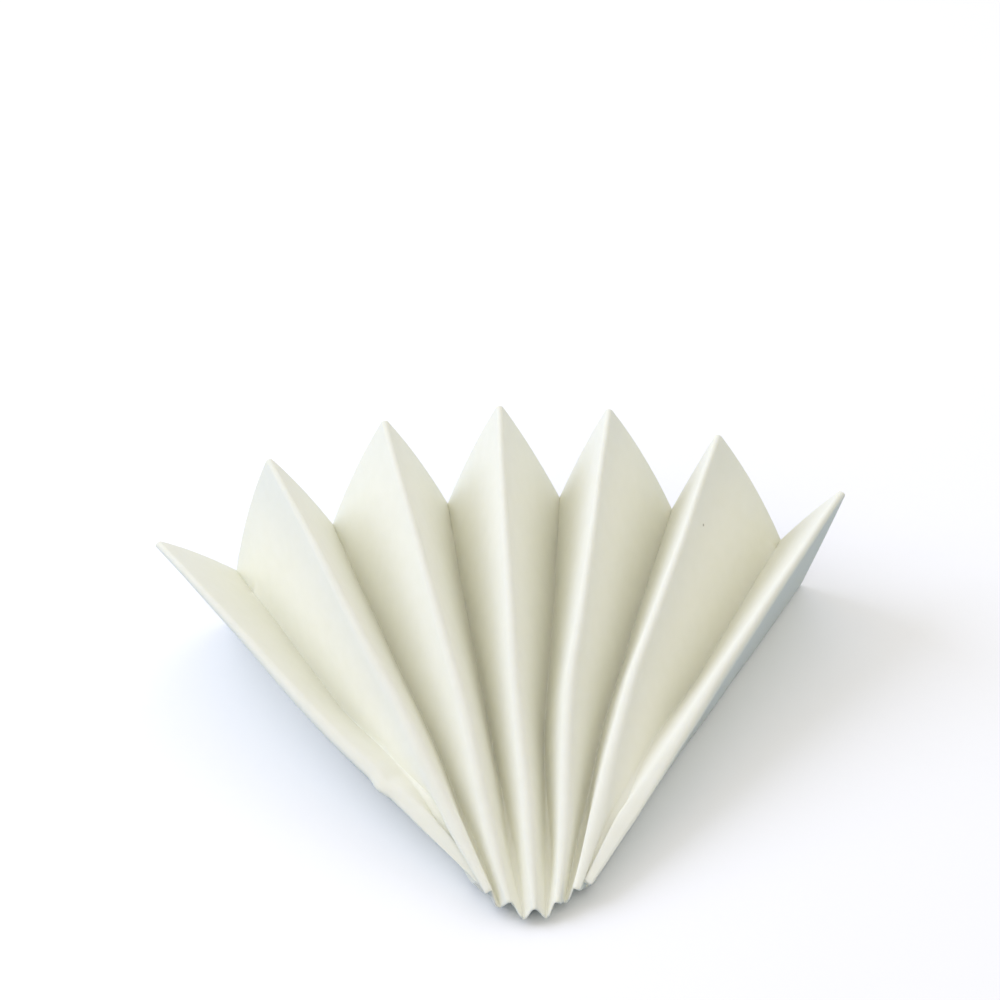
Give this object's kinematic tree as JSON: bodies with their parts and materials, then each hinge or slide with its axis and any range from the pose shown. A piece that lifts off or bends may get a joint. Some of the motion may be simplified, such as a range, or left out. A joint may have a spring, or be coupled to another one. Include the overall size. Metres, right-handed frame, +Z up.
{
  "type": "pleated filter paper",
  "caption": "Round sheet of filter paper pleated from centre to rim and half opened into a flattened fluted cone, for lining a funnel",
  "frame": {"origin": "centre of the object's box in plan, on the table that the lower folds lie on", "axes": "+X across the opened fan, +Y from the blunt tip to the open mouth, +Z up"},
  "size_m": [0.1438, 0.11, 0.0467],
  "materials": {
    "paper": "matt"
  },
  "bodies": {
    "root": {"filter_paper": "paper"}
  },
  "joints": []
}
